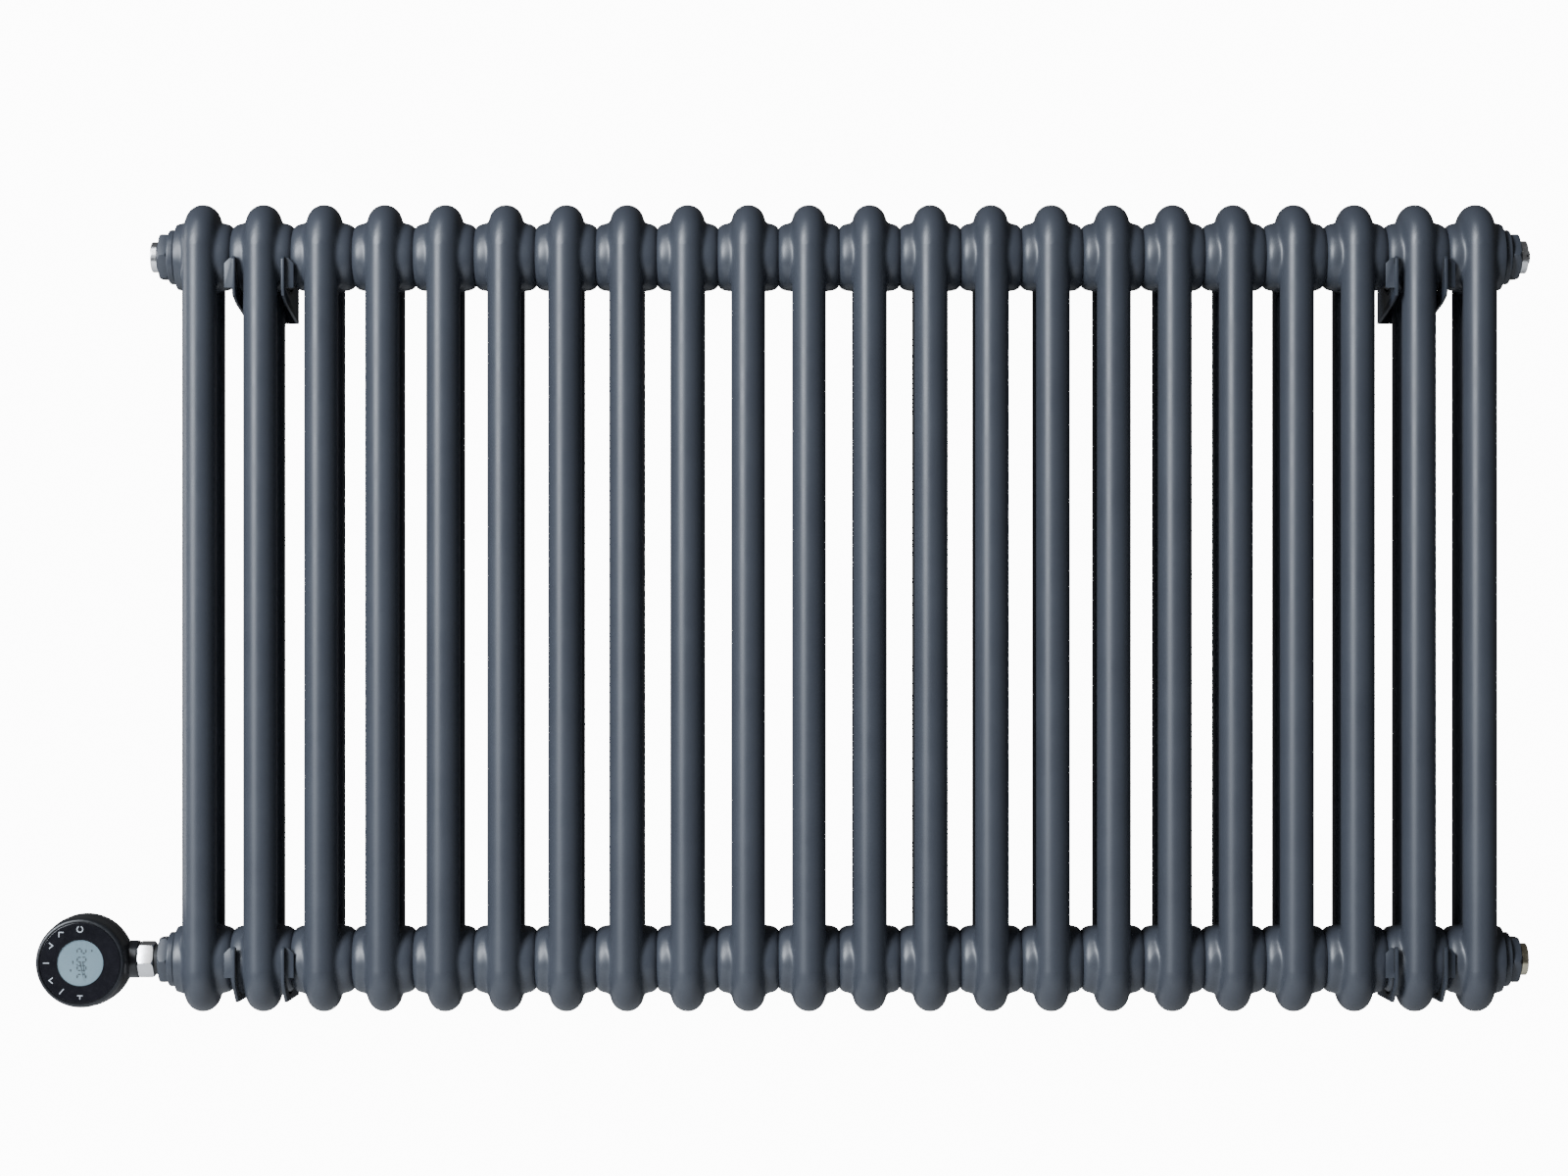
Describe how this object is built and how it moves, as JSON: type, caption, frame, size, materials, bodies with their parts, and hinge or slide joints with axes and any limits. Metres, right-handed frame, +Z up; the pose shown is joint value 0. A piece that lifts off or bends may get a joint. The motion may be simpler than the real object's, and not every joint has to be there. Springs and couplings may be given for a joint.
{
  "type": "electric column radiator",
  "caption": "Long low steel column radiator on open cradle wall brackets, with end plugs, an air vent and an electric element with a round thermostat head that turns.",
  "frame": {"origin": "centre of the four wall bolt holes, on the wall plane at the brackets' back faces", "axes": "+Y into the wall, +Z up, +X along the radiator away from the thermostat head"},
  "size_m": [1.1063, 0.0775, 0.6],
  "materials": {
    "radiator_paint": "satin fine-grain powder coat, slate grey",
    "bracket_paint": "satin powder coat, dark slate",
    "liner_plastic": "matte black",
    "seal_rubber": "matte black",
    "chrome_plate": "polished plate",
    "pale_brass": "dull nickelled brass",
    "screw_steel": "zinc plated",
    "sheath_steel": "drawn stainless tube",
    "head_plastic": "satin black moulding",
    "face_gloss": "gloss black printed plate",
    "icon_print": "light grey print",
    "lens_glass": "clear",
    "display": "teal grey liquid crystal display",
    "board_green": "solder mask and black components"
  },
  "bodies": {
    "wall_brackets": {"bracket_top_left": "bracket_paint", "bracket_top_right": "bracket_paint", "bracket_bottom_left": "bracket_paint", "bracket_bottom_right": "bracket_paint", "liner_top_left": "liner_plastic", "liner_top_right": "liner_plastic", "liner_bottom_left": "liner_plastic", "liner_bottom_right": "liner_plastic"},
    "radiator": {"section_01": "radiator_paint", "section_02": "radiator_paint", "section_03": "radiator_paint", "section_04": "radiator_paint", "section_05": "radiator_paint", "section_06": "radiator_paint", "section_07": "radiator_paint", "section_08": "radiator_paint", "section_09": "radiator_paint", "section_10": "radiator_paint", "section_11": "radiator_paint", "section_12": "radiator_paint", "section_13": "radiator_paint", "section_14": "radiator_paint", "section_15": "radiator_paint", "section_16": "radiator_paint", "section_17": "radiator_paint", "section_18": "radiator_paint", "section_19": "radiator_paint", "section_20": "radiator_paint", "section_21": "radiator_paint", "section_22": "radiator_paint", "bush_top_left": "radiator_paint", "bush_top_right": "radiator_paint", "bush_bottom_left": "radiator_paint", "bush_bottom_right": "radiator_paint", "bush_gasket_top_left": "seal_rubber", "bush_gasket_top_right": "seal_rubber", "bush_gasket_bottom_left": "seal_rubber", "bush_gasket_bottom_right": "seal_rubber", "blanking_plug": "chrome_plate", "blanking_plug_oring": "seal_rubber", "vent_body": "chrome_plate", "vent_oring": "seal_rubber", "drain_plug": "pale_brass", "drain_plug_oring": "seal_rubber", "element_gasket": "seal_rubber", "element_nut": "chrome_plate", "swivel_clip": "screw_steel", "element_sheath": "sheath_steel"},
    "thermostat_head": {"head_collar": "head_plastic", "head_rear_housing": "head_plastic", "head_front_bezel": "head_plastic", "head_face_plate": "face_gloss", "head_icons": "icon_print", "head_lens": "lens_glass", "head_lcd": "display", "head_electronics": "board_green", "head_screws": "screw_steel", "cable_gland": "liner_plastic"},
    "bleed_carrier": {"bleed_seal": "seal_rubber"},
    "bleed_screw_body": {"bleed_screw": "screw_steel"}
  },
  "joints": [
    {"name": "lift_off", "type": "slide", "parent": "wall_brackets", "child": "radiator", "axis": [0, 0, 1], "range_m": [0, 0.035]},
    {"name": "head_turn", "type": "hinge", "parent": "radiator", "child": "thermostat_head", "pos_m": [-0.535, -0.045, -0.246], "axis": [1, 0, 0], "range_deg": [-170, 170]},
    {"name": "bleed_travel", "type": "slide", "parent": "radiator", "child": "bleed_carrier", "axis": [1, 0, 0], "range_m": [0, 0.00119]},
    {"name": "bleed_turn", "type": "hinge", "parent": "bleed_carrier", "child": "bleed_screw_body", "pos_m": [0.506, -0.045, 0.276], "axis": [1, 0, 0], "range_deg": [0, 540]}
  ],
  "couplings": [
    {"joint": "bleed_turn", "follows": "bleed_travel", "rad_per_m": 7854}
  ]
}
